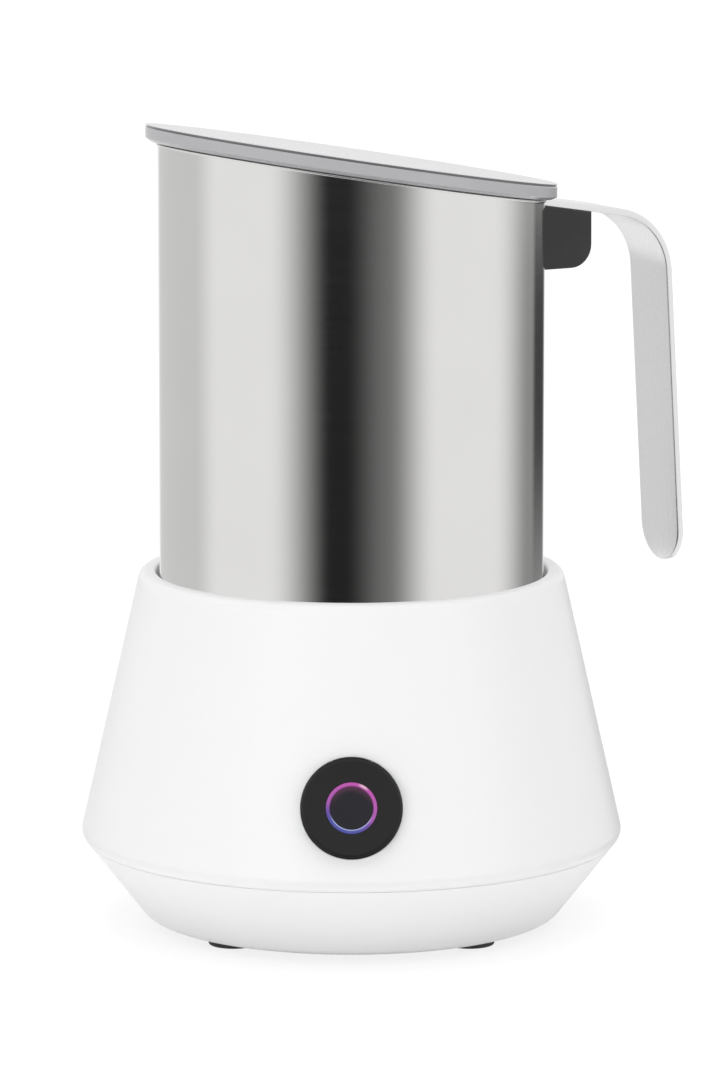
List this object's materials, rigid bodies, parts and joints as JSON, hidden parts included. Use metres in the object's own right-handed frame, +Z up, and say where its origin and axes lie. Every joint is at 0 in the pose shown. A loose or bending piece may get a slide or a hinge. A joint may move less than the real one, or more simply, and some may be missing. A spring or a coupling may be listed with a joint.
{
  "type": "milk frother",
  "caption": "Countertop milk frother: tapered white base with a lit push button, steel jug with a slanted rim, strap handle and lid, driven by a magnetic whisk.",
  "frame": {"origin": "on the base axis, in the plane that the feet stand on", "axes": "+Z up along the base axis, -Y to the front with the button; the handle points between +X and +Y"},
  "size_m": [0.1462, 0.13, 0.1937],
  "materials": {
    "white_housing": "satin moulded white plastic",
    "foot_rubber": "matt soft rubber",
    "gland_rubber": "matt white rubber",
    "well_dark": "heat-proof dark plastic",
    "carrier_plastic": "glass-filled plastic",
    "coil_copper": "varnished copper winding",
    "ferrite": "sintered ferrite",
    "sensor_metal": "aluminium tip",
    "motor_can": "zinc-plated can, hollow on the real motor",
    "screw_steel": "plated steel",
    "rotor_plastic": "moulded black plastic",
    "magnet": "nickel-plated magnet",
    "board_green": "coated circuit board",
    "capacitor_yellow": "potted film capacitor",
    "capacitor_black": "sleeved or moulded part",
    "sink_aluminium": "extruded aluminium",
    "terminal_green": "moulded terminal",
    "lamp_clear": "clear lamp body",
    "button_black": "satin black plastic",
    "light_ring": "translucent light guide, lit pink to violet",
    "jug_steel": "polished stainless steel",
    "strap_steel": "satin stainless steel",
    "block_black": "matt heat-proof plastic",
    "lid_grey": "smooth grey plastic",
    "seal_silicone": "soft silicone"
  },
  "bodies": {
    "base": {"upper_housing": "white_housing", "lower_housing": "white_housing", "housing_screws": "screw_steel", "well_cup": "white_housing", "well_plate": "well_dark", "cord_gland": "gland_rubber", "coil_carrier": "carrier_plastic", "carrier_screws": "screw_steel", "induction_coil": "coil_copper", "ferrite_bars": "ferrite", "temperature_sensor": "sensor_metal", "motor_bracket": "carrier_plastic", "bracket_screws": "screw_steel", "drive_motor": "motor_can", "motor_screws": "screw_steel", "power_board": "board_green", "board_screws": "screw_steel", "film_capacitors": "capacitor_yellow", "electrolytic_capacitor": "capacitor_black", "choke": "ferrite", "heat_sink": "sink_aluminium", "power_transistor": "capacitor_black", "terminal_block": "terminal_green", "fuse": "capacitor_black", "control_board": "board_green", "control_board_screws": "screw_steel", "push_switch": "capacitor_black", "indicator_lamps": "lamp_clear", "foot_front_left": "foot_rubber", "foot_front_right": "foot_rubber", "foot_rear_left": "foot_rubber", "foot_rear_right": "foot_rubber"},
    "drive": {"motor_shaft": "screw_steel", "magnet_rotor": "rotor_plastic", "drive_magnets": "magnet"},
    "button": {"button_cap": "button_black", "light_ring": "light_ring"},
    "jug": {"jug_body": "jug_steel", "handle_strap": "strap_steel", "handle_block": "block_black", "whisk_pin": "jug_steel"},
    "lid": {"lid_plate": "lid_grey", "lid_seal": "seal_silicone"},
    "whisk": {"whisk_hub": "rotor_plastic", "whisk_magnets": "magnet", "whisk_spring": "screw_steel"}
  },
  "joints": [
    {"name": "jug_lift", "type": "slide", "parent": "base", "child": "jug", "axis": [0, 0, 1], "range_m": [0, 0.12]},
    {"name": "lid_lift", "type": "slide", "parent": "jug", "child": "lid", "axis": [0, 0, 1], "range_m": [0, 0.08]},
    {"name": "drive_spin", "type": "hinge", "parent": "base", "child": "drive", "pos_m": [0, 0, 0.045], "axis": [0, 0, 1], "continuous": true},
    {"name": "whisk_spin", "type": "hinge", "parent": "jug", "child": "whisk", "pos_m": [0, 0, 0.064], "axis": [0, 0, 1], "continuous": true},
    {"name": "button_press", "type": "slide", "parent": "base", "child": "button", "axis": [0, 0.9751, -0.222], "range_m": [0, 0.0008], "stiffness_N_per_m": 1500, "springref_m": -0.0006}
  ],
  "couplings": [
    {"joint": "whisk_spin", "follows": "drive_spin", "ratio": 1}
  ]
}
